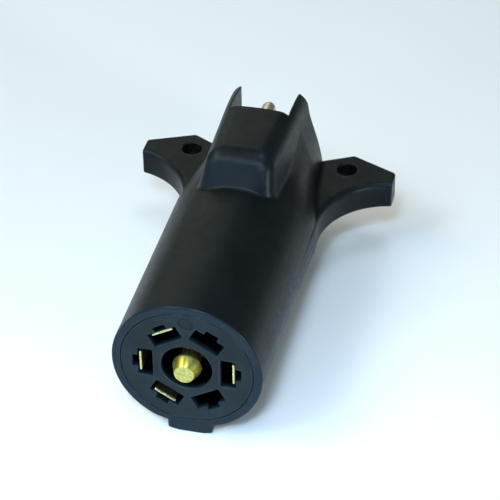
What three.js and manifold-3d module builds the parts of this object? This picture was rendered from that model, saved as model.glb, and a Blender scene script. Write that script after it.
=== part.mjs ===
// Trailer wiring adapter: a 7-way RV-blade plug in front and a recessed 4-way-flat port behind.
// Millimetres, +Z up. The plug axis runs along Y: the plug face looks to -Y and the port to +Y.
// Pieces are drawn with the centre of the plug face at zero, and the outer group then puts
// the origin at the bottom centre of the whole adapter.
import * as THREE from 'three';
import { mergeVertices } from 'three/addons/utils/BufferGeometryUtils.js';
import Module from 'manifold-3d';

const wasm = await Module();
wasm.setup();

// Driving dimensions
const GAP = 0.3; // clearance between separate pieces
const BODY = { radius: 22.5, length: 104, rim: 0.6 };
const TAPER = { start: 70, halfWidth: 15.9, bottomRise: 0.09 };
const HOOD_FRONT = { y: 58, z: 18.9, rake: 0.495, rounding: 2.4 }; // where the sloping front starts
const HOOD = { halfWidth: 16.2, draft: 0.21, roof: 31.6, round: 4.6 };
const FINS = { flare: 0.00128, dropStart: 90, drop: 2.6 };
const WING = { top: 3, bottom: -6, holeX: 25.8, holeY: 101.8, holeRadius: 3.2 };
const WING_CURVE = { x: 45.8, y: 74, radius: 23.4, from: 100.8, to: 180 };
const KEY = { centre: 0.4, halfWidth: 6.7, flat: 4.6, bottom: -24.8, side: -24.1, length: 58 };
const INSERT = { radius: 19.5, depth: 24, wellRadius: 7.6, wellDepth: 12 };
const SLOT = { inner: 10.1, outer: 14.55, halfWidth: 4.8, notch: 16.2, notchHalfWidth: 2.06, depth: 20 };
const CONTACT = { width: 7, neckWidth: 2.4, thickness: 0.8, radius: 13.85, setback: 0.3 };
const PIN = { tipRadius: 2.9, radius: 4.35, tip: -3, shankRadius: 3, collarRadius: 4.2, end: 27 };
const BARREL = { radius: 1.6, bore: 0.95 }; // crimp barrels of every terminal
const PORT = { pitch: 10.4, top: 22.5, front: 79, face: 88, end: 102, bootRadius: 4.65, plate: [83, 86] };
const TERMINAL = { radius: 2.35, bore: 1.75, crimpEnd: 78.5, start: 73 };
const WIRE = { radius: 1.35, bore: 0.9, core: 0.5, stripped: 4 };
const CAVITY = { roof: 27.8, topHalfWidth: 9.2, halfWidth: 9.6, floor: -16.5, start: 65, roofEdge: 89 };
const REAR = 109.9; // rearmost corner of the wings
const BLADES = { right_turn: 0, tail: 120, left_turn: 180, ground: 240 }; // clock angle of each contact
const PORT_ROW = ['ground', 'tail', 'left_turn', 'right_turn']; // from the top down

const radians = THREE.MathUtils.degToRad;
const X = new THREE.Vector3(1, 0, 0);
const Y = new THREE.Vector3(0, 1, 0);
const Z = new THREE.Vector3(0, 0, 1);

// Between three.js geometries and manifold solids
function solid(geometry) {
  const bare = geometry.clone();
  bare.deleteAttribute('normal');
  bare.deleteAttribute('uv');
  const merged = mergeVertices(bare, 1e-4);
  const corners = merged.index.array;
  const triangles = [];
  for (let i = 0; i < corners.length; i += 3) {
    const [a, b, c] = corners.slice(i, i + 3);
    if (a !== b && b !== c && c !== a) triangles.push(a, b, c);
  }
  const vertProperties = Float32Array.from(merged.attributes.position.array);
  const triVerts = Uint32Array.from(triangles);
  return new wasm.Manifold(new wasm.Mesh({ numProp: 3, vertProperties, triVerts }));
}

function geometryOf(manifold) {
  const { vertProperties, triVerts } = manifold.getMesh();
  const geometry = new THREE.BufferGeometry();
  geometry.setAttribute('position', new THREE.BufferAttribute(vertProperties, 3));
  geometry.setIndex(new THREE.BufferAttribute(triVerts, 1));
  geometry.computeVertexNormals();
  return geometry;
}

// Shapes
function outline(corners) {
  // corners are [x, y, rounding]: the rounding is how far from the corner the curve starts
  const points = corners.map(([x, y]) => new THREE.Vector2(x, y));
  const shape = new THREE.Shape();
  corners.forEach(([, , rounding = 0], i) => {
    const corner = points[i];
    const before = points[(i + points.length - 1) % points.length];
    const after = points[(i + 1) % points.length];
    const enter = corner.clone().add(before.clone().sub(corner).setLength(rounding));
    const leave = corner.clone().add(after.clone().sub(corner).setLength(rounding));
    if (i === 0) shape.moveTo(enter.x, enter.y);
    else shape.lineTo(enter.x, enter.y);
    if (rounding > 0) shape.quadraticCurveTo(corner.x, corner.y, leave.x, leave.y);
  });
  shape.closePath();
  return shape;
}

const mirrored = (half) => [...half, ...half.map(([x, y, r]) => [-x, y, r]).reverse()];

function alongY(shape, from, to, { curveSegments = 6, steps = 1 } = {}) {
  const options = { depth: to - from, bevelEnabled: false, curveSegments, steps };
  const geometry = new THREE.ExtrudeGeometry(shape, options);
  return geometry.rotateX(Math.PI / 2).translate(0, to, 0);
}

function alongZ(shape, from, to, curveSegments = 6) {
  const options = { depth: to - from, bevelEnabled: false, curveSegments };
  return new THREE.ExtrudeGeometry(shape, options).translate(0, 0, from);
}

function alongX(shape, halfWidth) {
  const turn = new THREE.Matrix4().makeBasis(Y, Z, X);
  return alongZ(shape, -halfWidth, halfWidth).applyMatrix4(turn);
}

function turned(profile, segments = 24) {
  // profile is [radius, y] around the outside, then back along the axis or the bore
  return new THREE.LatheGeometry(profile.map(([r, y]) => new THREE.Vector2(r, y)), segments);
}

const rod = (radius, from, to, segments = 24) =>
  turned([[0, from], [radius, from], [radius, to], [0, to]], segments);

function sweep(extrudePath, radius, bore = 0) {
  const section = new THREE.Shape().absarc(0, 0, radius, 0, 2 * Math.PI);
  if (bore > 0) section.holes.push(new THREE.Path().absarc(0, 0, bore, 0, 2 * Math.PI));
  const options = { extrudePath, steps: 24, curveSegments: 4, bevelEnabled: false };
  return new THREE.ExtrudeGeometry(section, options);
}

// Finishes
const plastic = { color: 0x1b2125, roughness: 0.42, metalness: 0 };
const insertPlastic = { color: 0x2b3842, roughness: 0.48, metalness: 0 };
const portRubber = { color: 0x16181a, roughness: 0.7, metalness: 0 };
const brass = { color: 0xcdbf6a, roughness: 0.28, metalness: 1 };
const plated = { color: 0xd2d0bd, roughness: 0.3, metalness: 1 };
const copper = { color: 0xb87048, roughness: 0.4, metalness: 1 };
const steel = { color: 0x9a9c9f, roughness: 0.35, metalness: 1 };
const insulation = { ground: 0xe8e8e4, tail: 0x6b4128, left_turn: 0xe0c11f, right_turn: 0x2f7d3c };

function piece(name, manifold, finish) {
  const mesh = new THREE.Mesh(geometryOf(manifold), new THREE.MeshStandardMaterial(finish));
  mesh.name = name;
  return mesh;
}

// Housing
function bodyBarrel() {
  // A round barrel whose rear part narrows sideways into an upright oval
  const { radius, length, rim } = BODY;
  const corner = rim * (1 - Math.SQRT1_2);
  const middle = (TAPER.start + length) / 2;
  const barrel = turned([
    [0, 0], [radius - rim, 0], [radius - corner, corner], [radius, rim],
    [radius, TAPER.start], [radius, middle], [radius, length], [0, length],
  ], 72);
  const place = barrel.attributes.position;
  for (let i = 0; i < place.count; i += 1) {
    const share = Math.max(0, place.getY(i) - TAPER.start) / (length - TAPER.start);
    place.setX(i, place.getX(i) * (1 - share * (1 - TAPER.halfWidth / radius)));
  }
  const rear = length + 1;
  const rise = (rear - TAPER.start) * TAPER.bottomRise;
  const under = outline([[TAPER.start, -radius], [rear, rise - radius], [rear, -40], [TAPER.start, -40]]);
  return solid(barrel).subtract(solid(alongX(under, radius + 1)));
}

function hood() {
  const { halfWidth, draft, roof, round } = HOOD;
  const foot = 2;
  const sideAt = (z) => halfWidth - draft * z;
  const section = outline(mirrored([[sideAt(foot), foot, 0], [sideAt(roof), roof, round]]));
  const block = alongY(section, HOOD_FRONT.y - 8, BODY.length, { steps: 8 });
  const place = block.attributes.position;
  for (let i = 0; i < place.count; i += 1) {
    const [x, y, z] = [place.getX(i), place.getY(i), place.getZ(i)];
    const dropShare = Math.max(0, y - FINS.dropStart) / (BODY.length - FINS.dropStart);
    place.setX(i, x * (1 + (FINS.flare * (y - HOOD_FRONT.y) * z) / sideAt(z)));
    place.setZ(i, z * (1 - (FINS.drop * dropShare ** 2) / roof));
  }
  const frontAt = (z) => HOOD_FRONT.y + (z - HOOD_FRONT.z) * HOOD_FRONT.rake;
  const rear = BODY.length + 1;
  const top = [frontAt(roof), roof, HOOD_FRONT.rounding];
  const side = outline([[frontAt(foot), foot], top, [rear, roof], [rear, foot]]);
  return solid(block).intersect(solid(alongX(side, halfWidth + 6)));
}

function wingPair() {
  const curve = WING_CURVE;
  const shape = new THREE.Shape();
  shape.moveTo(8, 74);
  shape.lineTo(8, BODY.length);
  shape.lineTo(15.5, BODY.length);
  shape.lineTo(26.6, REAR);
  shape.lineTo(41.4, 103.4);
  shape.absarc(curve.x, curve.y, curve.radius, radians(curve.from), radians(curve.to), false);
  shape.closePath();
  shape.holes.push(new THREE.Path().absarc(WING.holeX, WING.holeY, WING.holeRadius, 0, 2 * Math.PI));
  const right = solid(alongZ(shape, WING.bottom, WING.top, 12));
  return right.add(right.mirror([1, 0, 0]));
}

function keyTab() {
  // Its underside is flat, so the adapter can stand on it
  const { centre, halfWidth, flat, bottom, side, length } = KEY;
  const half = [[halfWidth, 1 - BODY.radius, 0], [halfWidth, side, 0.4], [flat, bottom, 0.4]];
  const shape = outline(mirrored(half));
  return solid(alongY(shape, 0, length).translate(centre, 0, 0));
}

function cavityOutline(inset) {
  const { roof, topHalfWidth, halfWidth, floor } = CAVITY;
  const half = [[topHalfWidth - inset, roof - inset, 2], [halfWidth - inset, floor + inset, 6]];
  return outline(mirrored(half));
}

function housing() {
  const { start, roofEdge, topHalfWidth, roof } = CAVITY;
  const shoulder = INSERT.depth + GAP;
  const bore = solid(rod(INSERT.radius + GAP, -1, shoulder, 72));
  const hollow = solid(rod(INSERT.radius - 0.9, shoulder - 1, start + 3, 72));
  const port = solid(alongY(cavityOutline(0), start, REAR));
  const openRoof = outline(mirrored([[topHalfWidth, 40, 0], [topHalfWidth, roof - 4, 0]]));
  return bodyBarrel()
    .add(hood())
    .add(wingPair())
    .add(keyTab())
    .subtract(bore)
    .subtract(hollow)
    .subtract(port)
    .subtract(solid(alongY(openRoof, roofEdge, REAR)));
}

// Plug insert and its contacts
function slotCutter(angle) {
  const { inner, outer, halfWidth, notch, notchHalfWidth } = SLOT;
  const shape = outline([
    [inner, -halfWidth], [outer, -halfWidth], [outer, -notchHalfWidth], [notch, -notchHalfWidth],
    [notch, notchHalfWidth], [outer, notchHalfWidth], [outer, halfWidth], [inner, halfWidth],
  ]);
  return solid(alongY(shape, -1, SLOT.depth).rotateY(-radians(angle)));
}

function neckCutter(angle) {
  // The slit in a slot's floor that its contact goes through
  const { neckWidth, thickness, radius } = CONTACT;
  const slit = new THREE.BoxGeometry(thickness + 2 * GAP, 6, neckWidth + 2 * GAP);
  return solid(slit.translate(radius, SLOT.depth + 2, 0).rotateY(-radians(angle)));
}

function plugInsert() {
  const { radius, depth, wellRadius, wellDepth } = INSERT;
  let insert = solid(rod(radius, 0, depth, 72));
  for (let i = 0; i < 6; i += 1) insert = insert.subtract(slotCutter(60 * i));
  for (const angle of Object.values(BLADES)) insert = insert.subtract(neckCutter(angle));
  return insert
    .subtract(solid(rod(wellRadius, -1, wellDepth, 36)))
    .subtract(solid(rod(PIN.shankRadius + GAP, 1, depth + 1)));
}

function ribbon(centreLine, thickness) {
  // A bent strip seen from its edge
  const points = centreLine.map(([x, y]) => new THREE.Vector2(x, y));
  const side = (sign) => points.map((point, i) => {
    const run = points[Math.min(i + 1, points.length - 1)].clone().sub(points[Math.max(i - 1, 0)]);
    return new THREE.Vector2(-run.y, run.x).setLength((sign * thickness) / 2).add(point);
  });
  return new THREE.Shape([...side(-1), ...side(1).reverse()]);
}

function bladeContact() {
  // Drawn at 3 o'clock: a strip along Y with a spring bow towards the axis and a crimp barrel behind
  const { width, neckWidth, thickness, radius, setback } = CONTACT;
  const stripEnd = SLOT.depth - GAP;
  const crimp = INSERT.depth + 3.2;
  const bow = [[0, 6], [-0.5, 8], [-1.5, 10.5], [-2, 12.5], [-1.5, 14.5], [-0.5, 17], [0, 19]];
  const line = [[radius, setback], ...bow.map(([dx, y]) => [radius + dx, y]), [radius, stripEnd]];
  const strip = new THREE.ExtrudeGeometry(ribbon(line, thickness), { depth: width, bevelEnabled: false });
  strip.translate(0, 0, -width / 2);
  const neck = new THREE.BoxGeometry(thickness, crimp + 2 - stripEnd, neckWidth);
  neck.translate(radius, (crimp + stripEnd) / 2, 0);
  const barrel = rod(BARREL.radius, crimp, crimp + 6, 12).translate(radius, 0, 0);
  const bore = rod(BARREL.bore, crimp - 1, crimp + 7, 12).translate(radius, 0, 0);
  return solid(strip).add(solid(neck)).add(solid(barrel)).subtract(solid(bore));
}

function centrePin() {
  // A coned head, a neck, and a collar that rests on the floor of the well
  const { tipRadius, radius, tip, shankRadius, collarRadius, end } = PIN;
  const floor = INSERT.wellDepth - GAP;
  return solid(turned([
    [0, tip], [tipRadius - 0.3, tip], [tipRadius, tip + 0.3], [radius, 0.8], [radius, 1.2], [shankRadius, 2.4],
    [shankRadius, floor - 1.2], [collarRadius, floor - 1.2], [collarRadius, floor], [shankRadius, floor],
    [shankRadius, end], [0, end],
  ]));
}

function pushNut() {
  const bore = PIN.shankRadius + GAP;
  const from = INSERT.depth + GAP;
  const [radius, dish, sheet] = [7, 0.8, 0.7];
  return solid(turned([
    [bore, from + dish], [radius, from], [radius, from + sheet],
    [bore, from + dish + sheet], [bore, from + dish],
  ]));
}

// Port block and its terminals
const portHeight = (i) => PORT.top - i * PORT.pitch;

function portBlock() {
  const { pitch, top, front, face, end, bootRadius, plate } = PORT;
  const bottom = top - 3 * pitch;
  const bar = new THREE.Shape();
  bar.absarc(0, top, bootRadius, 0, Math.PI);
  bar.absarc(0, bottom, bootRadius, Math.PI, 2 * Math.PI);
  bar.closePath();
  let block = solid(alongY(bar, front, face, { curveSegments: 12 }));
  block = block.add(solid(alongY(cavityOutline(GAP), ...plate)));
  for (let i = 0; i < PORT_ROW.length; i += 1) {
    const z = portHeight(i);
    if (i > 0) {
      const boot = turned([[0, face - 1], [bootRadius, face - 1], [bootRadius - 0.3, end - 0.8],
        [bootRadius - 1.1, end], [0, end]]);
      block = block.add(solid(boot.translate(0, 0, z)));
    }
    block = block.subtract(solid(rod(TERMINAL.radius + GAP, front - 1, end + 1).translate(0, 0, z)));
  }
  return block;
}

function socketTerminal() {
  const { radius, bore, crimpEnd, start } = TERMINAL;
  const end = PORT.end - 0.8;
  return solid(turned([
    [BARREL.bore, start], [BARREL.radius, start], [BARREL.radius, crimpEnd], [radius, crimpEnd + 1.5],
    [radius, end], [bore, end], [bore, crimpEnd + 2], [BARREL.bore, crimpEnd + 1], [BARREL.bore, start],
  ]));
}

function pinTerminal() {
  const { radius, crimpEnd, start } = TERMINAL;
  const end = PORT.end + 2.2;
  return solid(turned([
    [BARREL.bore, start], [BARREL.radius, start], [BARREL.radius, crimpEnd], [radius, crimpEnd + 1.5],
    [radius, end - 2.2], [radius - 0.6, end - 0.8], [radius - 1.5, end], [0, end],
    [0, crimpEnd], [BARREL.bore, crimpEnd], [BARREL.bore, start],
  ]));
}

// Wires: each leaves its crimp barrel straight back, crosses the hollow and enters its terminal
const WIRE_START = INSERT.depth + 9.7; // just behind the contacts' crimp barrels
const WIRE_BENDS = {
  ground: [[3, 45, -6], [8.5, 53, 2.5], [6.5, 60, 10.5], [2.4, 65.4, 15.4]],
  tail: [[-5.5, 48, 12.6], [-1.5, 60, 12.3]],
  left_turn: [[-9.5, 48, 0.8], [-2.5, 60, 1.5]],
  right_turn: [[10.5, 48, -4], [3, 60, -8]],
};

function corePath(name) {
  const angle = radians(BLADES[name]);
  const x = CONTACT.radius * Math.cos(angle);
  const z = CONTACT.radius * Math.sin(angle);
  const height = portHeight(PORT_ROW.indexOf(name));
  const inContact = [[x, WIRE_START - WIRE.stripped, z], [x, WIRE_START + 4, z]];
  const inTerminal = [-2.2, -0.5, WIRE.stripped].map((past) => [0, TERMINAL.start + past, height]);
  const points = [...inContact, ...WIRE_BENDS[name], ...inTerminal];
  const guides = points.map((point) => new THREE.Vector3(...point));
  return new THREE.CatmullRomCurve3(guides, false, 'centripetal');
}

function insulationPath(name) {
  // The stretch of the core's path between its two stripped ends
  const path = corePath(name);
  const stripped = (WIRE.stripped + GAP) / path.getLength();
  const count = 24;
  const share = (i) => stripped + ((1 - 2 * stripped) * i) / count;
  return new THREE.CatmullRomCurve3(Array.from({ length: count + 1 }, (_, i) => path.getPointAt(share(i))));
}

const wireCore = (name) => solid(sweep(corePath(name), WIRE.core));
const wireInsulation = (name) => solid(sweep(insulationPath(name), WIRE.radius, WIRE.bore));

// Assembly
const adapter = new THREE.Group();
adapter.add(piece('housing', housing(), plastic));
adapter.add(piece('plug_insert', plugInsert(), insertPlastic));
adapter.add(piece('centre_pin', centrePin(), brass));
adapter.add(piece('pin_push_nut', pushNut(), steel));
adapter.add(piece('port_block', portBlock(), portRubber));
for (const [name, angle] of Object.entries(BLADES)) {
  const contact = piece(`contact_${name}`, bladeContact(), brass);
  contact.rotation.y = -radians(angle);
  adapter.add(contact);
}
PORT_ROW.forEach((name, i) => {
  const isPin = name === 'ground';
  const terminal = isPin
    ? piece('ground_pin', pinTerminal(), plated)
    : piece(`socket_${name}`, socketTerminal(), plated);
  terminal.position.z = portHeight(i);
  adapter.add(terminal);
  adapter.add(piece(`wire_${name}`, wireInsulation(name), { color: insulation[name], roughness: 0.5 }));
  adapter.add(piece(`core_${name}`, wireCore(name), copper));
});
adapter.position.set(0, -(PIN.tip + REAR) / 2, -KEY.bottom);

const part = new THREE.Group();
part.add(adapter);
export default part;
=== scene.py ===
import math

import bpy
import numpy as np
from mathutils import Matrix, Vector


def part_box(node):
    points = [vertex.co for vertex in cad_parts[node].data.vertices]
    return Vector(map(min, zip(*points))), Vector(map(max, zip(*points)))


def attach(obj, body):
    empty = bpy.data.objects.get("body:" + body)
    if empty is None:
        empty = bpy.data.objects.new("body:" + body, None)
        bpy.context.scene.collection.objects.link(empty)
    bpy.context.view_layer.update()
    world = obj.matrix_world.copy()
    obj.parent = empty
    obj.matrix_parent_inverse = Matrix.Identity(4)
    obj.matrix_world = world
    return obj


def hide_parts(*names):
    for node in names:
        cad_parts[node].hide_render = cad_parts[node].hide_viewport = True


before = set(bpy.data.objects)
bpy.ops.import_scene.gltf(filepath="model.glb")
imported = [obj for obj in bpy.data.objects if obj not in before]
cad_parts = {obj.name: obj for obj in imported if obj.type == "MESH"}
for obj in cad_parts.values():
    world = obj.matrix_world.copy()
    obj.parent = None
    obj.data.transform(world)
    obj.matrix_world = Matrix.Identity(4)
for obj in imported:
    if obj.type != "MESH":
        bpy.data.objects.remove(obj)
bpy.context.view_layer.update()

import openvdb
from mathutils import Matrix, Vector

# Plug coordinates: millimetres from the centre of the plug face, +Y towards the port, +Z up
MM = 0.001
insert_low, insert_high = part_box("plug_insert")
PLUG_ORIGIN = np.array([0.0, insert_low.y, (insert_low.z + insert_high.z) / 2])


def in_row(points):
    """Plug coordinates in millimetres to row coordinates in metres."""
    return np.asarray(points, float) * MM + PLUG_ORIGIN


# Driving dimensions, in plug coordinates
BARREL_RADIUS = 22.5
BODY_END = 104.0
RIM_ROUND = 0.5
TAPER_START = 70.0
TAPER_BLEND = 5
TAPER_SHARE = 15.9 / 22.5
BOTTOM_RISE, BOTTOM_ROUND = 0.09, 3
KEY = {"centre": 0.4, "half": 6.7, "flat": 4.6, "bottom": -24.8, "side": -24.1, "end": 58.0}
HOOD_FRONT_Y, HOOD_FRONT_Z, HOOD_RAKE = 58.0, 18.9, 0.495
HOOD_BELLY, HOOD_BELLY_HALF, HOOD_BELLY_FULL_Z = 2.0, 12, 22
HOOD_HALF, HOOD_DRAFT, HOOD_FLARE, HOOD_FOOT = 16.2, 0.21, 0.00128, 2.0
HOOD_DRAFT_COSINE = 0.98
HOOD_SIDE_ROUND, HOOD_FRONT_ROUND = 4.2, 2.8
HOOD_JOIN = {"start": 68, "run": 24, "front": 0.6, "growth": 4.7}
ROOF, ROOF_CROWN, ROOF_EDGE = 31.6, 0.006, 89.0
FIN_DROP, FIN_DROP_START = 2.1, 90.0
WING_TOP, WING_BOTTOM = 3.0, -6.0
WING_HOLE_X, WING_HOLE_Y, WING_HOLE_RADIUS = 25.8, 101.8, 3.2
WING_ARC_X, WING_ARC_Y, WING_ARC_RADIUS = 45.8, 74.0, 23.4
CAVITY = {"half": 9.3, "roof": 27.8, "floor": -16.5, "start": 65.0}
BORE_RADIUS, BORE_END, HOLLOW_RADIUS = 19.8, 24.3, 18.6
INSERT_RADIUS, INSERT_DEPTH = 19.68, 24.0
INSERT_SETBACK = 0.05
WELL_RADIUS, WELL_DEPTH = 7.6, 12.0
MARK = {"x": 0.2, "z": 16.4, "radius": 2.1, "edge": 0.35, "depth": 0.5}
SLOT = {"inner": 10.1, "outer": 14.55, "half": 4.8, "notch": 16.2, "notch_half": 2.06, "depth": 20.0}
CONTACT = {"width": 7.0, "neck": 2.4, "thickness": 0.8, "radius": 13.85, "front": 0.3, "end": 19.7}
CRIMP_RADIUS, CRIMP_BORE = 1.6, 0.95
CRIMP_START, CRIMP_END = 27.2, 33.2
PIN = {
    "tip_radius": 2.9, "radius": 4.35, "tip": -3.0, "cone_end": 0.8, "head_end": 1.2, "neck_start": 2.4,
    "shank": 3.0, "collar": 4.2, "collar_length": 1.2, "floor": 11.7, "end": 27.0}
PORT = {"pitch": 10.4, "top": 22.5, "front": 79.0, "face": 88.0, "end": 102.0, "boot": 4.65}
PORT_PLATE = (83.0, 86.0)
TERMINAL = {"radius": 2.35, "bore": 1.75, "crimp_end": 78.5, "start": 73.0}
WIRE_RADIUS, WIRE_BORE, STRAND_RADIUS, STRIPPED = 1.35, 0.66, 0.2, 4.0
WIRE_START = INSERT_DEPTH + 9.7
BLADES = {"right_turn": 0, "tail": 120, "left_turn": 180, "ground": 240}
PORT_ROW = ["ground", "tail", "left_turn", "right_turn"]


# Rounded joins and cuts of distance fields: negative is inside
def join(a, b, r):
    return np.maximum(r, np.minimum(a, b)) - np.hypot(np.maximum(r - a, 0), np.maximum(r - b, 0))


def trim(a, b, r):
    return np.minimum(-r, np.maximum(a, b)) + np.hypot(np.maximum(r + a, 0), np.maximum(r + b, 0))


def cut(a, b, r):
    return trim(a, -b, r)


def soft_ramp(t, blend):
    """Zero below 0 and t above it, with the corner eased over blend."""
    return np.where(t < -blend, 0, np.where(t > blend, t, (t + blend) ** 2 / (4 * blend)))


def smooth_step(t):
    t = np.clip(t, 0, 1)
    return t * t * (3 - 2 * t)


def disc(reach, y, radius, start, end, r):
    """A round slab along Y with rounded edges."""
    return trim(trim(reach - radius, start - y, r), y - end, r)


def polygon_distance(x, y, corners):
    """Signed distance to a closed polygon in the plane, negative inside."""
    best = np.full(x.shape, 1e9)
    inside = np.zeros(x.shape, bool)
    for (ax, ay), (bx, by) in zip(corners, np.roll(corners, -1, axis=0)):
        ex, ey = bx - ax, by - ay
        t = np.clip(((x - ax) * ex + (y - ay) * ey) / (ex * ex + ey * ey), 0, 1)
        best = np.minimum(best, np.hypot(x - ax - t * ex, y - ay - t * ey))
        crosses = (ay > y) != (by > y)
        if ey != 0:
            inside ^= crosses & (x < ax + (y - ay) * ex / ey)
    return np.where(inside, -best, best)


def line_distance(x, y, points):
    """Distance to an open run of straight stretches in the plane."""
    best = np.full(np.broadcast(x, y).shape, 1e9)
    for (ax, ay), (bx, by) in zip(points, points[1:]):
        ex, ey = bx - ax, by - ay
        t = np.clip(((x - ax) * ex + (y - ay) * ey) / (ex * ex + ey * ey), 0, 1)
        best = np.minimum(best, np.hypot(x - ax - t * ex, y - ay - t * ey))
    return best


def rounded_corner(before, here, after, r, steps):
    """Points and directions along the curve that rounds one corner."""
    enter = here + (before - here) / np.linalg.norm(before - here) * r
    leave = here + (after - here) / np.linalg.norm(after - here) * r
    t = np.linspace(0, 1, steps)[:, None]
    points = (1 - t) ** 2 * enter + 2 * t * (1 - t) * here + t * t * leave
    directions = (1 - t) * (here - enter) + t * (leave - here)
    return points, directions


# Housing
def barrel_field(x, y, z):
    past = soft_ramp(y - TAPER_START, TAPER_BLEND)
    width = 1 - (1 - TAPER_SHARE) * past / (BODY_END - TAPER_START)
    reach = np.hypot(x / width, z)
    slope = np.hypot(x / width**2, z) / np.maximum(reach, 1e-3)
    side = (reach - BARREL_RADIUS) / np.maximum(slope, 0.5)
    return trim(side, BOTTOM_RISE * past - BARREL_RADIUS - z, BOTTOM_ROUND)


def hood_field(x, y, z):
    half = HOOD_HALF - z * (HOOD_DRAFT - HOOD_FLARE * (y - HOOD_FRONT_Y))
    side = (np.abs(x) - half) * HOOD_DRAFT_COSINE
    drop_share = np.maximum(y - FIN_DROP_START, 0) / (BODY_END - FIN_DROP_START)
    top = z - (ROOF - FIN_DROP * drop_share**2 - ROOF_CROWN * x * x)
    across = np.clip(1 - (x / HOOD_BELLY_HALF) ** 2, 0, 1)
    belly = HOOD_BELLY * across * np.clip((ROOF - z) / (ROOF - HOOD_BELLY_FULL_Z), 0, 1)
    front = (HOOD_FRONT_Y - belly + (z - HOOD_FRONT_Z) * HOOD_RAKE - y) / math.hypot(1, HOOD_RAKE)
    hood = trim(trim(side, top, HOOD_SIDE_ROUND), front, HOOD_FRONT_ROUND)
    return np.maximum(hood, HOOD_FOOT - z)


def key_field(x, y, z):
    across = np.abs(x - KEY["centre"])
    run, rise = KEY["half"] - KEY["flat"], KEY["side"] - KEY["bottom"]
    chamfer = ((across - KEY["flat"]) * rise - (z - KEY["bottom"]) * run) / math.hypot(run, rise)
    side = trim(trim(across - KEY["half"], chamfer, 0.4), KEY["bottom"] - z, 0.8)
    return trim(side, np.maximum(y - KEY["end"], z), 0.8)


def wing_outline():
    """Half of the wings in plan, without the curve that is cut from its front."""
    inner, outer = 8.0, 41.4
    corners = np.array([(15.5, BODY_END), (26.6, 109.9), (outer, 103.4), (outer, WING_ARC_Y)])
    points = [np.array([(inner, 50), (inner, BODY_END), corners[0]])]
    for i, r in ((1, 0.7), (2, 0.9)):
        points.append(rounded_corner(corners[i - 1], corners[i], corners[i + 1], r, 6)[0])
    return np.vstack([*points, corners[3], (22.9, WING_ARC_Y), (21.6, 50)])


def wing_field(x, y, z):
    side_x, plan_y = np.abs(x[:, :, :1]), y[:, :, :1]
    outer = polygon_distance(side_x, plan_y, wing_outline())
    curve = WING_ARC_RADIUS - np.hypot(side_x - WING_ARC_X, plan_y - WING_ARC_Y)
    plan = trim(outer, curve, 0.6)
    wing = np.maximum(trim(plan, z - WING_TOP, 0.5), trim(curve, z - WING_TOP, 1.9))
    return trim(wing, WING_BOTTOM - z, 0.6)


def cavity_field(x, y, z):
    side = np.abs(x) - CAVITY["half"]
    tall = trim(side, CAVITY["floor"] - z, 5)
    roofed = trim(tall, z - CAVITY["roof"], 1.5)
    return np.minimum(np.maximum(roofed, CAVITY["start"] - y), np.maximum(tall, ROOF_EDGE - y))


def housing_field(x, y, z):
    growth = np.clip((y - HOOD_JOIN["start"]) / HOOD_JOIN["run"], 0, 1)
    blend = HOOD_JOIN["front"] + HOOD_JOIN["growth"] * growth * growth
    body = join(barrel_field(x, y, z), hood_field(x, y, z), blend)
    body = join(body, key_field(x, y, z), 0.4)
    body = trim(body, -y, RIM_ROUND)
    body = trim(body, y - BODY_END, 0.6)
    body = join(body, wing_field(x, y, z), 1.0)
    reach = np.hypot(x, z)
    bore = np.maximum(reach - BORE_RADIUS, y - BORE_END)
    hollow = np.maximum(reach - HOLLOW_RADIUS, y - CAVITY["start"] - 3)
    body = cut(body, np.minimum(bore, hollow), 0.25)
    body = cut(body, cavity_field(x, y, z), 0.5)
    hole = np.hypot(np.abs(x) - WING_HOLE_X, y - WING_HOLE_Y) - WING_HOLE_RADIUS
    return cut(body, hole, 0.3)


# Plug insert
def slot_sector(x, z):
    """Radial and sideways distances in the nearest slot's own direction, and that slot's number."""
    sector = np.round(np.arctan2(z, x) / math.radians(60))
    angle = sector * math.radians(60)
    radial = x * np.cos(angle) + z * np.sin(angle)
    sideways = np.abs(z * np.cos(angle) - x * np.sin(angle))
    return radial, sideways, sector % 6


def insert_field(x, y, z):
    reach = np.hypot(x, z)
    radial, sideways, number = slot_sector(x[:, :1, :], z[:, :1, :])
    middle = (SLOT["inner"] + SLOT["outer"]) / 2
    wide = trim(np.abs(radial - middle) - (SLOT["outer"] - SLOT["inner"]) / 2, sideways - SLOT["half"], 0.3)
    narrow = trim(np.abs(radial - middle) - (SLOT["notch"] - middle), sideways - SLOT["notch_half"], 0.3)
    slot = np.minimum(wide, np.where(radial > middle, narrow, 9))
    well = reach[:, :1, :] - WELL_RADIUS
    from_mark = np.hypot(x[:, :1, :] - MARK["x"], z[:, :1, :] - MARK["z"])
    mark = MARK["depth"] * (1 - smooth_step((from_mark - MARK["radius"]) / MARK["edge"]))
    body = trim(reach - INSERT_RADIUS, INSERT_SETBACK + mark - y, 0.3)
    body = trim(body, y - INSERT_DEPTH, 0.5)
    body = cut(body, np.maximum(slot, y - SLOT["depth"]), 0.22)
    neck = np.abs(radial - CONTACT["radius"]) - CONTACT["thickness"] / 2 - 0.3
    slit = np.maximum(neck, sideways - CONTACT["neck"] / 2 - 0.3)
    used = [round(angle / 60) for angle in BLADES.values()]
    body = cut(body, np.maximum(np.where(np.isin(number, used), slit, 5), SLOT["depth"] - 1 - y), 0.15)
    body = cut(body, np.maximum(well, y - WELL_DEPTH), 0.35)
    return cut(body, np.maximum(reach - PIN["shank"] - 0.2, WELL_DEPTH - 1 - y), 0.3)


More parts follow.
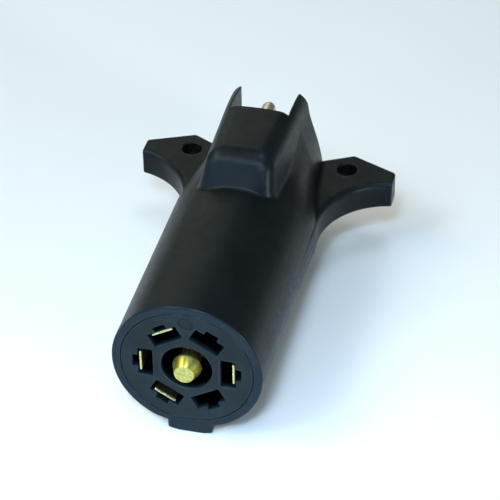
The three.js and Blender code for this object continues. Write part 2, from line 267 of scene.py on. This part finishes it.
# Contacts, drawn at 3 o'clock
def contact_field(x, y, z):
    r, front, end = CONTACT["radius"], CONTACT["front"], CONTACT["end"]
    bow = [(0, 6), (-0.5, 8), (-1.5, 10.5), (-2, 12.5), (-1.5, 14.5), (-0.5, 17), (0, 19)]
    line = [(r, front + 0.4), *((r + dx, py) for dx, py in bow), (r, end - 0.4)]
    sheet = line_distance(x[:, :, :1], y[:, :, :1], line) - CONTACT["thickness"] / 2
    strip = trim(sheet, np.abs(z) - CONTACT["width"] / 2, 0.2)
    neck_sheet = np.maximum(np.abs(x - r) - CONTACT["thickness"] / 2, np.abs(y - 23.5) - 5)
    neck = trim(neck_sheet, np.abs(z) - CONTACT["neck"] / 2, 0.2)
    reach = np.hypot(x - r, z)
    flare = 0.25 * smooth_step((y - CRIMP_END + 1.2) / 1.2)
    crimp = disc(reach, y, CRIMP_RADIUS + flare * 0.5, CRIMP_START, CRIMP_END, 0.15)
    body = join(np.minimum(strip, neck), crimp, 0.3)
    body = cut(body, np.maximum(reach - CRIMP_BORE - flare, CRIMP_START - y), 0.1)
    seam = np.maximum(np.abs(z) - 0.14, np.maximum(r - x, CRIMP_START + 0.6 - y))
    return cut(body, seam, 0.1)


# Port block
def port_height(i):
    return PORT["top"] - i * PORT["pitch"]


def port_block_field(x, y, z):
    top, bottom = port_height(0), port_height(3)
    bar_reach = np.hypot(x, z - np.clip(z, bottom, top))
    block = disc(bar_reach, y, PORT["boot"], PORT["front"], PORT["face"], 0.5)
    side = np.abs(x) - CAVITY["half"] + 0.15
    plate = trim(trim(side, CAVITY["floor"] + 0.15 - z, 5), z - CAVITY["roof"] + 0.15, 1.5)
    middle = (PORT_PLATE[0] + PORT_PLATE[1]) / 2
    plate = trim(plate, np.abs(y - middle) - (PORT_PLATE[1] - PORT_PLATE[0]) / 2, 0.4)
    block = join(block, plate, 0.5)
    nearest = port_height(np.clip(np.round((top - z) / PORT["pitch"]), 0, 3))
    reach = np.hypot(x, z - nearest)
    taper = 0.45 * smooth_step((y - PORT["face"]) / (PORT["end"] - PORT["face"]))
    boot = disc(reach, y, PORT["boot"] - taper, PORT["face"] - 1, PORT["end"], 0.7)
    for ring in (92.0, 95.0):
        boot = join(boot, np.hypot(reach - PORT["boot"] + taper, y - ring) - 0.35, 0.5)
    boot = np.maximum(boot, reach - PORT["boot"])
    block = join(block, np.where(nearest > top - 1, 5, boot), 0.5)
    return cut(block, reach - TERMINAL["radius"] - 0.12, 0.3)


# Push nut
def push_nut_field(x, y, z):
    bore, radius, dish, sheet = PIN["shank"] + 0.1, 7.0, 0.8, 0.7
    reach = np.hypot(x, z)
    start = INSERT_DEPTH + 0.3 + dish * np.clip((radius - reach) / (radius - bore), 0, 1)
    body = trim(trim(np.abs(y - start - sheet / 2) - sheet / 2, reach - radius, 0.2), bore - reach, 0.15)
    radial, sideways, _ = slot_sector(x, z)
    return cut(body, np.maximum(sideways - 0.3, radial - 5.0), 0.1)


# Meshes of distance fields
def field_at(field, points):
    x, y, z = (points[:, i].reshape(-1, 1, 1) for i in range(3))
    return field(x, y, z).reshape(-1)


def slope_at(field, points, step=0.02):
    slope = np.empty((len(points), 3))
    for axis in range(3):
        shift = np.zeros(3)
        shift[axis] = step
        slope[:, axis] = field_at(field, points + shift) - field_at(field, points - shift)
    return slope / (2 * step)


def edge_at(field, points, step=0.12):
    """How sharply the surface bends outwards, from 0 on a flat to 1 on an edge."""
    total = -6 * field_at(field, points)
    for axis in range(3):
        shift = np.zeros(3)
        shift[axis] = step
        total += field_at(field, points + shift) + field_at(field, points - shift)
    return np.clip(total / step**2 / 1.2, 0, 1)


def mesh_object(name, points, faces, normals, edge=None):
    mesh = bpy.data.meshes.new(name)
    mesh.from_pydata(in_row(points), [], faces)
    mesh.shade_smooth()
    wear = mesh.attributes.new("edge", "FLOAT", "POINT")
    wear.data.foreach_set("value", np.zeros(len(points)) if edge is None else edge)
    mesh.normals_split_custom_set_from_vertices(normals)
    piece = bpy.data.objects.new(name, mesh)
    bpy.context.scene.collection.objects.link(piece)
    return piece


def field_mesh(field, low, high, cell, adaptivity):
    """Points, faces, normals and edge sharpness of the surface where the field is zero."""
    axes = [np.arange(a, b, cell) for a, b in zip(low, high)]
    grid = openvdb.FloatGrid(3 * cell)
    rows = 40
    for start in range(0, len(axes[1]), rows):
        x, y, z = np.meshgrid(axes[0], axes[1][start:start + rows], axes[2], indexing="ij")
        block = np.clip(field(x, y, z), -3 * cell, 3 * cell)
        grid.copyFromArray(np.ascontiguousarray(block, dtype=np.float32), ijk=(0, start, 0))
    points, triangles, quads = grid.convertToPolygons(0.0, adaptivity)
    points = np.asarray(points, float) * cell + np.array([a[0] for a in axes])
    for _ in range(3):
        slope = slope_at(field, points)
        squared = np.maximum((slope * slope).sum(1), 0.25)
        points -= (field_at(field, points) / squared)[:, None] * slope
    faces = [tuple(face) for face in quads.tolist()] + [tuple(face) for face in triangles.tolist()]
    normals = slope_at(field, points)
    normals /= np.linalg.norm(normals, axis=1)[:, None]
    return points, faces, normals, edge_at(field, points)


def field_piece(name, field, low, high, cell, adaptivity=0.004):
    return mesh_object(name, *field_mesh(field, low, high, cell, adaptivity))


def turn_about_y(points, degrees):
    angle = math.radians(degrees)
    x, y, z = points.T
    return np.column_stack([
        x * math.cos(angle) - z * math.sin(angle), y, x * math.sin(angle) + z * math.cos(angle)])


# Turned pieces and tubes
class Path:
    """A smooth run of points, with a frame that turns along it without twisting."""

    def __init__(self, points, start=0.0):
        points = np.asarray(points, float)
        steps = np.linalg.norm(np.diff(points, axis=0), axis=1)
        self.run = start + np.concatenate([[0], np.cumsum(steps)])
        self.points = points
        self.along = np.gradient(points, self.run, axis=0)
        self.along /= np.linalg.norm(self.along, axis=1)[:, None]
        side = np.cross(self.along[0], (0, 0, 1))
        sides = []
        for along in self.along:
            side = side - along * side.dot(along)
            side /= np.linalg.norm(side)
            sides.append(side)
        self.sides = np.array(sides)

    def at(self, run):
        """Place, direction and two sideways directions at that distance."""
        place, along, side = (
            np.array([np.interp(run, self.run, column) for column in table.T])
            for table in (self.points, self.along, self.sides))
        along /= np.linalg.norm(along)
        side -= along * side.dot(along)
        side /= np.linalg.norm(side)
        return place, along, side, np.cross(side, along)


def plug_axis(height=0.0):
    return Path([(0, -20, height), (0, 120, height)], -20)


def rounded_profile(corners, closed, steps=5, longest=None):
    """Points and outward normals round a profile of (radius, run, rounding) corners."""
    flat = [np.array(corner[:2], float) for corner in corners]
    points, directions = [], []
    for i, corner in enumerate(corners):
        before, here, after = flat[i - 1], flat[i], flat[(i + 1) % len(flat)]
        if corner[2] > 0:
            curve, turn = rounded_corner(before, here, after, corner[2], steps)
        else:
            curve = here[None]
            turn = (after - here)[None] if i == 0 else (here - before)[None]
        points.extend(curve)
        directions.extend(turn / np.linalg.norm(turn, axis=1)[:, None])
    if longest:
        points, directions = split_long_stretches(points, directions, closed, longest)
    directions = np.array(directions)
    return np.array(points), np.column_stack([directions[:, 1], -directions[:, 0]])


def split_long_stretches(points, directions, closed, longest):
    new_points, new_directions = [], []
    count = len(points)
    for i in range(count):
        new_points.append(points[i])
        new_directions.append(directions[i])
        if i == count - 1 and not closed:
            break
        gap = points[(i + 1) % count] - points[i]
        pieces = math.ceil(np.linalg.norm(gap) / longest)
        for part in range(1, pieces):
            new_points.append(points[i] + gap * part / pieces)
            new_directions.append(gap / np.linalg.norm(gap))
    return new_points, new_directions


def turned(corners, path, closed=False, segments=96, longest=None):
    """Points, faces and normals of a profile spun about a path."""
    profile, out = rounded_profile(corners, closed, longest=longest)
    angles = np.arange(segments) * 2 * math.pi / segments
    points, normals, rings = [], [], []
    for (radius, run), (out_radial, out_along) in zip(profile, out):
        place, along, side, up = path.at(run)
        around = angles if radius > 1e-6 else np.zeros(1)
        radial = np.cos(around)[:, None] * side + np.sin(around)[:, None] * up
        rings.append(range(len(points), len(points) + len(around)))
        points.extend(place + radius * radial)
        normals.extend(out_radial * radial + out_along * along)
    pairs = list(zip(rings, rings[1:]))
    if closed:
        pairs.append((rings[-1], rings[0]))
    faces = []
    for a, b in pairs:
        for i in range(segments):
            j = (i + 1) % segments
            corner = (a[i % len(a)], b[i % len(b)], b[j % len(b)], a[j % len(a)])
            face = tuple(dict.fromkeys(corner))
            if len(face) > 2:
                faces.append(face)
    return np.array(points), faces, np.array(normals)


def smooth_path(guides, spacing=0.4):
    """Evenly spaced points on a centripetal Catmull-Rom curve through the guides."""
    guides = np.asarray(guides, float)
    ends = 2 * guides[0] - guides[1], 2 * guides[-1] - guides[-2]
    knots = np.vstack([ends[0], guides, ends[1]])
    gaps = np.sqrt(np.linalg.norm(np.diff(knots, axis=0), axis=1))
    points = [guides[:1]]
    for i in range(1, len(knots) - 2):
        a, b, c, d = knots[i - 1:i + 3]
        before, here, after = gaps[i - 1:i + 2]
        leave = ((b - a) / before - (c - a) / (before + here) + (c - b) / here) * here
        arrive = ((c - b) / here - (d - b) / (here + after) + (d - c) / after) * here
        t = np.linspace(0, 1, 25)[1:, None]
        cubic = (2 * b - 2 * c + leave + arrive) * t**3 + (3 * c - 3 * b - 2 * leave - arrive) * t**2
        points.append(cubic + leave * t + b)
    points = np.vstack(points)
    run = np.concatenate([[0], np.cumsum(np.linalg.norm(np.diff(points, axis=0), axis=1))])
    even = np.linspace(0, run[-1], max(2, round(run[-1] / spacing)))
    return np.column_stack([np.interp(even, run, column) for column in points.T])


# Wires: each leaves its crimp barrel straight back, crosses the hollow and enters its terminal
WIRE_BENDS = {
    "ground": [(3, 45, -6), (8.5, 53, 2.5), (6.5, 60, 10.5), (2.4, 65.4, 15.4)],
    "tail": [(-5.5, 48, 12.6), (-1.5, 60, 12.3)],
    "left_turn": [(-9.5, 48, 0.8), (-2.5, 60, 1.5)],
    "right_turn": [(10.5, 48, -4), (3, 60, -8)],
}


def wire_path(name):
    angle = math.radians(BLADES[name])
    x, z = CONTACT["radius"] * math.cos(angle), CONTACT["radius"] * math.sin(angle)
    height = port_height(PORT_ROW.index(name))
    in_contact = [(x, WIRE_START - STRIPPED, z), (x, WIRE_START + 4, z)]
    in_terminal = [(0, TERMINAL["start"] + past, height) for past in (-2.2, -0.5, STRIPPED)]
    return Path(smooth_path([*in_contact, *WIRE_BENDS[name], *in_terminal]))


def insulation_mesh(path):
    start, end = STRIPPED + 0.3, path.run[-1] - STRIPPED - 0.3
    corners = [(WIRE_BORE, start, 0.05), (WIRE_RADIUS, start, 0.12),
               (WIRE_RADIUS, end, 0.12), (WIRE_BORE, end, 0.05)]
    return turned(corners, path, closed=True, segments=28, longest=0.7)


def strand_mesh(path, number, twist=0.28):
    """One strand of seven: number 0 runs down the middle and the others wind round it."""
    length = path.run[-1]
    offset = 0 if number == 0 else 2.02 * STRAND_RADIUS
    winding = []
    for run in np.arange(0, length, 0.6):
        place, _, side, up = path.at(run)
        angle = number * math.radians(60) + twist * run
        winding.append(place + offset * (math.cos(angle) * side + math.sin(angle) * up))
    strand = Path(winding)
    end = strand.run[-1]
    corners = [(0, 0, 0), (STRAND_RADIUS, 0, 0.05), (STRAND_RADIUS, end, 0.05), (0, end, 0)]
    return turned(corners, strand, segments=10, longest=0.7)


def core_mesh(path):
    points, faces, normals = [], [], []
    for number in range(7):
        strand_points, strand_faces, strand_normals = strand_mesh(path, number)
        first = len(points)
        points.extend(strand_points)
        normals.extend(strand_normals)
        faces.extend(tuple(first + corner for corner in face) for face in strand_faces)
    return np.array(points), faces, np.array(normals)


# Materials
class Finish:
    """A procedural material; a constant goes straight onto its shader's own socket."""

    def __init__(self, name, **constants):
        self.material = bpy.data.materials.new(name)
        self.material.use_nodes = True
        self.tree = self.material.node_tree
        self.shader = self.tree.nodes["Principled BSDF"]
        for key, value in constants.items():
            self.shader.inputs[key.replace("_", " ")].default_value = value
        self.place = self.node("TexCoord").outputs["Object"]

    def node(self, kind, **settings):
        node = self.tree.nodes.new("ShaderNode" + kind)
        for key, value in settings.items():
            setattr(node, key, value)
        return node

    def feed(self, socket, value):
        if isinstance(value, bpy.types.NodeSocket):
            self.tree.links.new(value, socket)
        else:
            socket.default_value = value

    def set(self, socket, value):
        self.feed(self.shader.inputs[socket], value)

    def noise(self, size, detail=2.0, roughness=0.5, stretch=(1, 1, 1)):
        """Noise with features of about that size in millimetres."""
        mapping = self.node("Mapping")
        self.feed(mapping.inputs["Vector"], self.place)
        mapping.inputs["Scale"].default_value = stretch
        noise = self.node("TexNoise")
        self.feed(noise.inputs["Vector"], mapping.outputs["Vector"])
        noise.inputs["Scale"].default_value = 1 / (size * MM)
        noise.inputs["Detail"].default_value = detail
        noise.inputs["Roughness"].default_value = roughness
        return noise.outputs["Fac"]

    def span(self, value, low, high, start=0.3, end=0.7):
        """value, taken from start to end, spread over low to high."""
        node = self.node("MapRange")
        sockets = ("Value", "From Min", "From Max", "To Min", "To Max")
        for socket, part in zip(sockets, (value, start, end, low, high)):
            self.feed(node.inputs[socket], part)
        return node.outputs["Result"]

    def math(self, operation, a, b):
        node = self.node("Math", operation=operation)
        self.feed(node.inputs[0], a)
        self.feed(node.inputs[1], b)
        return node.outputs["Value"]

    def mix(self, share, a, b):
        node = self.node("Mix", data_type="RGBA")
        self.feed(node.inputs["Factor"], share)
        self.feed(node.inputs[6], a)
        self.feed(node.inputs[7], b)
        return node.outputs[2]

    def edge(self):
        return self.node("Attribute", attribute_name="edge").outputs["Fac"]

    def depth(self):
        """How far behind the plug face, in metres."""
        parts = self.node("SeparateXYZ")
        self.feed(parts.inputs["Vector"], self.place)
        return self.math("SUBTRACT", parts.outputs["Y"], float(PLUG_ORIGIN[1]))

    def bump(self, *layers):
        """Each layer is (height, depth in millimetres, strength)."""
        normal = None
        for height, depth, strength in layers:
            node = self.node("Bump")
            node.inputs["Distance"].default_value = depth * MM
            node.inputs["Strength"].default_value = strength
            self.feed(node.inputs["Height"], height)
            if normal is not None:
                self.feed(node.inputs["Normal"], normal)
            normal = node.outputs["Normal"]
        self.set("Normal", normal)


def moulded_plastic(name, dark, light, worn, roughness, grain, specular, painted_face_reflection=None, painted_pocket_shade=None):
    """A moulded plastic, lighter where its edges are worn.

    The plug-face colour, when given, is a painted reflection: the plug face is painted lighter and bluer
    than the rest, standing in for the bright floor it reflects. The pocket depths, when given, say where,
    behind the face, painted shade starts and is full.
    """
    look = Finish(name)
    cloud = look.noise(14, 3)
    mottle = look.noise(1.6, 4, 0.6)
    colour = look.mix(look.span(cloud, 0, 1), (*dark, 1), (*light, 1))
    scuff = look.math("MULTIPLY", look.edge(), look.span(look.noise(2.5, 4), 0.1, 0.7))
    colour = look.mix(scuff, colour, (*worn, 1))
    shine = look.span(look.noise(5, 3), specular * 0.9, specular * 1.1)
    # Painted reflection: the plug face is painted lighter and bluer than the rest, standing in for the
    # bright floor it reflects.
    if painted_face_reflection:
        colour = look.mix(look.span(look.depth(), 0, 1, 0.0001, 0.0005), (*painted_face_reflection, 1), colour)
    # Painted shade: deeper behind the plug face the colour goes to near black and the specular drops,
    # standing in for the shade in the slots and the well.
    if painted_pocket_shade:
        shadow = look.span(look.depth(), 0, 1, *painted_pocket_shade)
        colour = look.mix(shadow, colour, (0.0005, 0.0006, 0.0008, 1))
        shine = look.math("MULTIPLY", shine, look.span(look.depth(), 1, 0.1, *painted_pocket_shade))
    look.set("Base Color", colour)
    look.set("Specular IOR Level", shine)
    patchy = look.span(mottle, roughness - 0.05, roughness + 0.07)
    smears = look.span(look.noise(9, 3, 0.6, (1, 0.35, 1)), -0.03, 0.04)
    rubbed = look.span(look.edge(), -0.01, -0.18, 0.45, 1.0)
    look.set("Roughness", look.math("ADD", look.math("ADD", patchy, smears), rubbed))
    look.bump((look.noise(7, 2), 0.05, 0.35), (look.noise(0.28, 2), grain, 0.5))
    return look.material


def port_rubber():
    look = Finish("port_rubber", Specular_IOR_Level=0.35)
    bloom = look.span(look.noise(5, 4, 0.6), 0, 0.7)
    colour = look.mix(bloom, (0.011, 0.011, 0.012, 1), (0.022, 0.022, 0.023, 1))
    rubbed = look.math("MULTIPLY", look.edge(), 0.5)
    look.set("Base Color", look.mix(rubbed, colour, (0.04, 0.04, 0.042, 1)))
    look.set("Roughness", look.span(look.noise(2, 3), 0.6, 0.78))
    look.bump((look.noise(0.35, 3), 0.03, 0.5))
    return look.material


def brass(name, bright, dull, roughness, painted_slot_shade=None):
    """Brass. The last argument, when given, is where behind the plug face painted shade starts and is full:
    the colour darkens there, standing in for the shade inside the slots.
    """
    look = Finish(name, Metallic=1.0)
    spots = look.span(look.noise(3.5, 4, 0.6), 0, 1, 0.42, 0.72)
    colour = look.mix(spots, (*bright, 1), (*dull, 1))
    rough = look.span(look.noise(1.2, 3), roughness - 0.06, roughness + 0.1)
    # Painted shade: deeper behind the plug face the brass is darkened to a dull brown, standing in for the
    # shade inside the slots.
    if painted_slot_shade:
        painted_shade = look.span(look.depth(), 0, 1, *painted_slot_shade)
        colour = look.mix(painted_shade, colour, (0.05, 0.048, 0.025, 1))
        rough = look.math("ADD", rough, look.math("MULTIPLY", painted_shade, 0.3))
    look.set("Base Color", colour)
    look.set("Roughness", rough)
    look.bump((look.noise(0.2, 2, 0.5, (1, 0.05, 1)), 0.001, 0.3))
    return look.material


def pin_brass():
    """Polished brass with a dull, granular tip; the cone's colour is painted in pale yellow and orange
    streaks along it, a painted reflection standing in for the bright and dark sectors the polished cone
    reflects.
    """
    look = Finish("pin_brass", Metallic=1.0)
    tip = look.span(look.depth(), 1, 0, -0.00295, -0.0028)
    drawn_marks_and_painted_streaks = look.noise(1.4, 1, 0.5, (1, 0.03, 1))
    # Painted reflection: pale yellow and orange streaks along the cone stand in for the bright and dark
    # sectors it reflects; the same pattern also bumps the surface as drawing marks.
    painted_reflection_streaks = look.span(drawn_marks_and_painted_streaks, 0, 1, 0.44, 0.58)
    grains = look.span(look.noise(0.7, 3), 0, 1)
    cone = look.mix(painted_reflection_streaks, (1.0, 0.9, 0.25, 1), (0.95, 0.66, 0.07, 1))
    end = look.mix(grains, (0.42, 0.38, 0.1, 1), (0.66, 0.6, 0.21, 1))
    look.set("Base Color", look.mix(tip, cone, end))
    polish = look.span(look.noise(1.5, 2), 0.32, 0.4)
    look.set("Roughness", look.math("ADD", polish, look.math("MULTIPLY", tip, 0.2)))
    look.bump((drawn_marks_and_painted_streaks, 0.006, 0.5))
    return look.material


def spring_steel():
    look = Finish("spring_steel", Metallic=1.0)
    oil = look.span(look.noise(2.5, 4), 0, 1)
    look.set("Base Color", look.mix(oil, (0.42, 0.42, 0.43, 1), (0.56, 0.56, 0.56, 1)))
    look.set("Roughness", look.span(look.noise(1.1, 3), 0.26, 0.42))
    look.bump((look.noise(0.25, 2, 0.5, (1, 1, 0.06)), 0.01, 0.5))
    return look.material


def bare_copper():
    look = Finish("copper", Metallic=1.0)
    aged = look.span(look.noise(1.5, 4), 0, 1)
    look.set("Base Color", look.mix(aged, (0.83, 0.43, 0.26, 1), (0.55, 0.26, 0.15, 1)))
    look.set("Roughness", look.span(look.noise(0.8, 3), 0.28, 0.45))
    look.bump((look.noise(0.1, 2, 0.5, (1, 0.1, 1)), 0.005, 0.5))
    return look.material


def insulation(name, colour):
    look = Finish("insulation_" + name, Specular_IOR_Level=0.5)
    shade = tuple(0.7 * part for part in colour)
    look.set("Base Color", look.mix(look.span(look.noise(4, 3), 0, 1), (*colour, 1), (*shade, 1)))
    look.set("Roughness", look.span(look.noise(1.5, 3), 0.34, 0.5))
    look.bump((look.noise(0.5, 2), 0.02, 0.4))
    return look.material


FINISHES = {
    "housing_plastic": moulded_plastic(
        "housing_plastic", dark=(0.0025, 0.0034, 0.0038), light=(0.004, 0.005, 0.0056),
        worn=(0.018, 0.024, 0.03), roughness=0.38, grain=0.02, specular=0.15, painted_face_reflection=(0.008, 0.015, 0.021)),
    "insert_plastic": moulded_plastic(
        "insert_plastic", dark=(0.0045, 0.009, 0.0112), light=(0.0095, 0.0165, 0.0205),
        worn=(0.02, 0.03, 0.038), roughness=0.44, grain=0.03, specular=0.16, painted_pocket_shade=(0.0004, 0.0022)),
    "port_rubber": port_rubber(),
    "pin_brass": pin_brass(),
    "brass": brass("brass", (0.72, 0.66, 0.34), (0.6, 0.5, 0.2), 0.28, (0.0006, 0.0011)),
    "plated_brass": brass("plated_brass", (0.78, 0.74, 0.55), (0.6, 0.55, 0.38), 0.28),
    "spring_steel": spring_steel(),
    "copper": bare_copper(),
    "insulation_white": insulation("white", (0.78, 0.78, 0.75)),
    "insulation_brown": insulation("brown", (0.18, 0.07, 0.03)),
    "insulation_yellow": insulation("yellow", (0.75, 0.55, 0.03)),
    "insulation_green": insulation("green", (0.03, 0.25, 0.06)),
}
WIRE_COLOURS = {"ground": "white", "tail": "brown", "left_turn": "yellow", "right_turn": "green"}


def stand_in(piece, node, slot, finish=None):
    """The piece stands for that CAD node; its finish is the one named after its slot, unless given."""
    piece.data.materials.append(FINISHES[finish or slot])
    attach(piece, "root")
    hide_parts(node)


# Pieces
def make_housing():
    low, high = (-43.5, -1, -26), (43.5, 112, 33)
    stand_in(field_piece("housing_shell", housing_field, low, high, 0.4), "housing", "housing_plastic")


def make_insert():
    low, high = (-20.5, -0.8, -20.5), (20.5, INSERT_DEPTH + 0.8, 20.5)
    stand_in(field_piece("insert_body", insert_field, low, high, 0.24), "plug_insert", "insert_plastic")


def make_centre_pin():
    radius, shank, collar, floor = (PIN[key] for key in ("radius", "shank", "collar", "floor"))
    collar_start = floor - PIN["collar_length"]
    corners = [
        (0, PIN["tip"], 0), (PIN["tip_radius"], PIN["tip"], 0.2),
        (radius, PIN["cone_end"], 0.15), (radius, PIN["head_end"], 0.15), (shank, PIN["neck_start"], 0.3),
        (shank, collar_start, 0.15), (collar, collar_start, 0.2), (collar, floor, 0.2), (shank, floor, 0.1),
        (shank, PIN["end"], 0.4), (0, PIN["end"], 0)]
    piece = mesh_object("centre_pin_turned", *turned(corners, plug_axis()))
    stand_in(piece, "centre_pin", "brass", "pin_brass")


def make_push_nut():
    low, high = (-7.6, INSERT_DEPTH - 0.3, -7.6), (7.6, INSERT_DEPTH + 2.5, 7.6)
    piece = field_piece("push_nut_star", push_nut_field, low, high, 0.12)
    stand_in(piece, "pin_push_nut", "spring_steel")


def make_contacts():
    low, high = (10.4, 0, -4.2), (16, CRIMP_END + 0.8, 4.2)
    points, faces, normals, edge = field_mesh(contact_field, low, high, 0.13, 0.004)
    for name, degrees in BLADES.items():
        turned_points, turned_normals = turn_about_y(points, degrees), turn_about_y(normals, degrees)
        piece = mesh_object("blade_contact_" + name, turned_points, faces, turned_normals, edge)
        stand_in(piece, "contact_" + name, "brass")


def make_port_block():
    low = (-10, PORT["front"] - 1, CAVITY["floor"] - 1)
    high = (10, PORT["end"] + 1, CAVITY["roof"] + 1)
    piece = field_piece("port_block_moulding", port_block_field, low, high, 0.26)
    stand_in(piece, "port_block", "port_rubber")


def make_terminals():
    crimp, start, radius = TERMINAL["crimp_end"], TERMINAL["start"], TERMINAL["radius"]
    shell = [(CRIMP_BORE, start, 0.15), (CRIMP_RADIUS, start, 0.15), (CRIMP_RADIUS, crimp, 0.2)]
    socket_end, pin_end = PORT["end"] - 0.8, PORT["end"] + 2.2
    socket = [*shell, (radius, crimp + 1.5, 0.4), (radius, socket_end, 0.25),
              (TERMINAL["bore"], socket_end, 0.25), (TERMINAL["bore"], crimp + 2, 0.3),
              (CRIMP_BORE, crimp + 1, 0.1)]
    pin = [*shell, (radius, crimp + 1.5, 0.4), (radius, pin_end - 2.2, 0.6),
           (radius - 0.6, pin_end - 0.8, 0.5), (radius - 1.5, pin_end, 0.4), (0, pin_end, 0)]
    for i, name in enumerate(PORT_ROW):
        axis = plug_axis(port_height(i))
        if name == "ground":
            solid_pin = [(0, crimp, 0), (CRIMP_BORE, crimp, 0.1), *pin]
            piece = mesh_object("port_pin_turned", *turned(solid_pin, axis, segments=64))
            stand_in(piece, "ground_pin", "plated_brass")
        else:
            piece = mesh_object("port_socket_" + name, *turned(socket, axis, closed=True, segments=64))
            stand_in(piece, "socket_" + name, "plated_brass")


def make_wires():
    for name, colour in WIRE_COLOURS.items():
        path = wire_path(name)
        jacket = mesh_object("wire_jacket_" + name, *insulation_mesh(path))
        stand_in(jacket, "wire_" + name, "insulation_" + colour)
        strands = mesh_object("wire_strands_" + name, *core_mesh(path))
        stand_in(strands, "core_" + name, "copper")


# Floor, light and camera
def make_floor():
    size = 3.0
    mesh = bpy.data.meshes.new("floor")
    corners = [(-size, -size, 0), (size, -size, 0), (size, size, 0), (-size, size, 0)]
    mesh.from_pydata(corners, [], [(0, 1, 2, 3)])
    floor = bpy.data.objects.new("floor", mesh)
    bpy.context.scene.collection.objects.link(floor)
    look = Finish("floor_paper", Specular_IOR_Level=0.2)
    look.set("Base Color", look.mix(look.noise(60, 3), (0.89, 0.79, 0.75, 1), (0.915, 0.815, 0.775, 1)))
    look.set("Roughness", look.span(look.noise(8, 3), 0.75, 0.9))
    mesh.materials.append(look.material)


def softbox(name, place, size, watts, colour, aim=(0, 0, 0.03), spread=180):
    """A square light; place and aim are in metres."""
    light = bpy.data.lights.new(name, "AREA")
    light.shape = "SQUARE"
    light.size = size
    light.energy = watts
    light.color = colour
    light.spread = math.radians(spread)
    lamp = bpy.data.objects.new(name, light)
    lamp.location = place
    lamp.rotation_euler = (Vector(aim) - Vector(place)).to_track_quat("-Z", "Y").to_euler()
    bpy.context.scene.collection.objects.link(lamp)


def make_light():
    world = bpy.data.worlds.new("studio")
    world.use_nodes = True
    background = world.node_tree.nodes["Background"]
    background.inputs["Color"].default_value = (0.85, 0.97, 1.0, 1)
    background.inputs["Strength"].default_value = 0.17
    bpy.context.scene.world = world
    softbox("key_light", (-0.42, -0.5, 0.76), 0.3, 4.3, (0.58, 0.82, 1.0))
    softbox("top_light", (0.1, 0.05, 1.0), 0.3, 2.0, (0.6, 0.8, 1.0))
    softbox("low_light", (-0.42, -0.85, 0.3), 0.35, 2.8, (0.25, 0.52, 1.0))
    softbox("left_light", (-0.6, -0.1, 0.79), 0.35, 2.4, (1.0, 0.93, 0.55))
    softbox("left_low_light", (-0.87, -0.3, 0.36), 0.35, 1.7, (0.35, 0.75, 1.0))
    softbox("right_light", (0.8, -0.54, 0.26), 0.14, 4.8, (0.65, 0.92, 1.0))
    softbox("edge_light", (0.1, -0.62, 0.77), 0.12, 3.4, (0.42, 0.7, 1.0))
    softbox("back_light", (-0.6, 1.1, 0.8), 1.1, 3.1, (0.9, 1.0, 0.84))
    softbox("front_floor_light", (0.02, -0.6, 0.6), 0.15, 0.22, (0.55, 0.78, 1.0), (0.02, -0.18, 0), 30)


def make_camera():
    azimuth, elevation, roll = 14.346, 38.101, -0.7025
    target = Vector(in_row((6.507, 50.0, 6.194)))
    distance = 0.62971
    around, tilt = math.radians(azimuth), math.radians(90 - elevation)
    turn = Matrix.Rotation(around, 4, "Z") @ Matrix.Rotation(tilt, 4, "X")
    turn = turn @ Matrix.Rotation(math.radians(roll), 4, "Z")
    camera = bpy.data.cameras.new("camera")
    camera.sensor_width = 36.0
    camera.lens = 149.62
    camera.clip_start, camera.clip_end = 0.05, 20
    holder = bpy.data.objects.new("camera", camera)
    holder.matrix_world = Matrix.Translation(target) @ turn @ Matrix.Translation((0, 0, distance))
    bpy.context.scene.collection.objects.link(holder)
    bpy.context.scene.camera = holder


make_camera()
make_housing()
make_insert()
make_centre_pin()
make_push_nut()
make_contacts()
make_port_block()
make_terminals()
make_wires()
make_floor()
make_light()
bpy.context.scene.view_settings.view_transform = "Standard"
